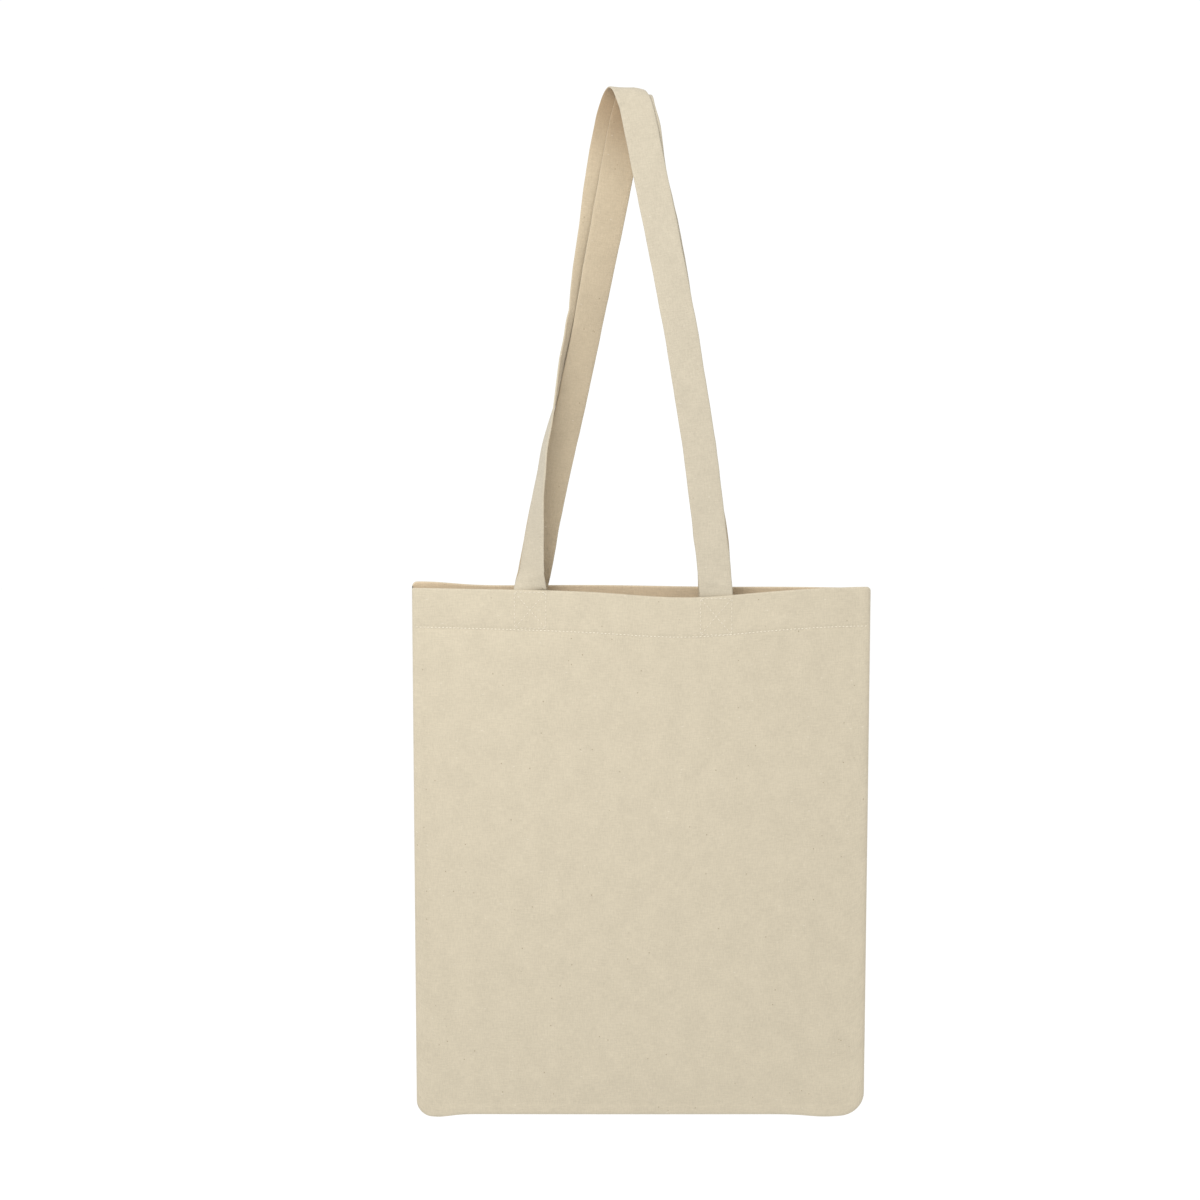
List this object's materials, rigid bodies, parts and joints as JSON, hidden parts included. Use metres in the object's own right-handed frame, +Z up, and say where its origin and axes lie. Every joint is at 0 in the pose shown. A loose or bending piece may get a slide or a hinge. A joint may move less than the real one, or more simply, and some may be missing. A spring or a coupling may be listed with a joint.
{
  "type": "canvas tote bag",
  "caption": "Flat unprinted natural canvas tote bag, open at the top, with a turned hem and two long sewn-on strap handles, hanging by the handles.",
  "frame": {"origin": "the hanging point: under the top folds of the two handles, midway between them", "axes": "+Z up, -Y the bag's front, +X to the right of a person who looks at the front"},
  "size_m": [0.36, 0.04, 0.8118],
  "materials": {
    "bag_canvas": "unbleached plain-weave cotton canvas, matt, small slubs and flecks",
    "strap_canvas": "unbleached cotton strap of the same plain weave, matt",
    "sewing_thread": "natural cotton sewing thread, soft sheen",
    "overlocked_edge": "canvas margin wrapped in overlock thread"
  },
  "bodies": {
    "bag_back": {"back_panel": "bag_canvas", "side_and_bottom_overlock": "overlocked_edge", "back_hem_stitching": "sewing_thread", "back_left_strap_end": "strap_canvas", "back_right_strap_end": "strap_canvas", "back_left_box_stitching": "sewing_thread", "back_right_box_stitching": "sewing_thread"},
    "bag_front": {"front_panel": "bag_canvas", "front_hem_stitching": "sewing_thread", "front_left_strap_end": "strap_canvas", "front_right_strap_end": "strap_canvas", "front_left_box_stitching": "sewing_thread", "front_right_box_stitching": "sewing_thread"},
    "front_handle": {"front_handle_strap": "strap_canvas"},
    "back_handle": {"back_handle_strap": "strap_canvas"}
  },
  "joints": [
    {"name": "mouth_opening", "type": "hinge", "parent": "bag_back", "child": "bag_front", "pos_m": [0.011, -0.0016, -0.81], "axis": [1, 0, 0], "range_deg": [0, 6]},
    {"name": "front_handle_swing", "type": "hinge", "parent": "bag_front", "child": "front_handle", "pos_m": [0, -0.0208, -0.379], "axis": [1, 0, 0], "range_deg": [0, 178]},
    {"name": "back_handle_swing", "type": "hinge", "parent": "bag_back", "child": "back_handle", "pos_m": [0, 0.0148, -0.379], "axis": [-1, 0, 0], "range_deg": [0, 178]}
  ]
}
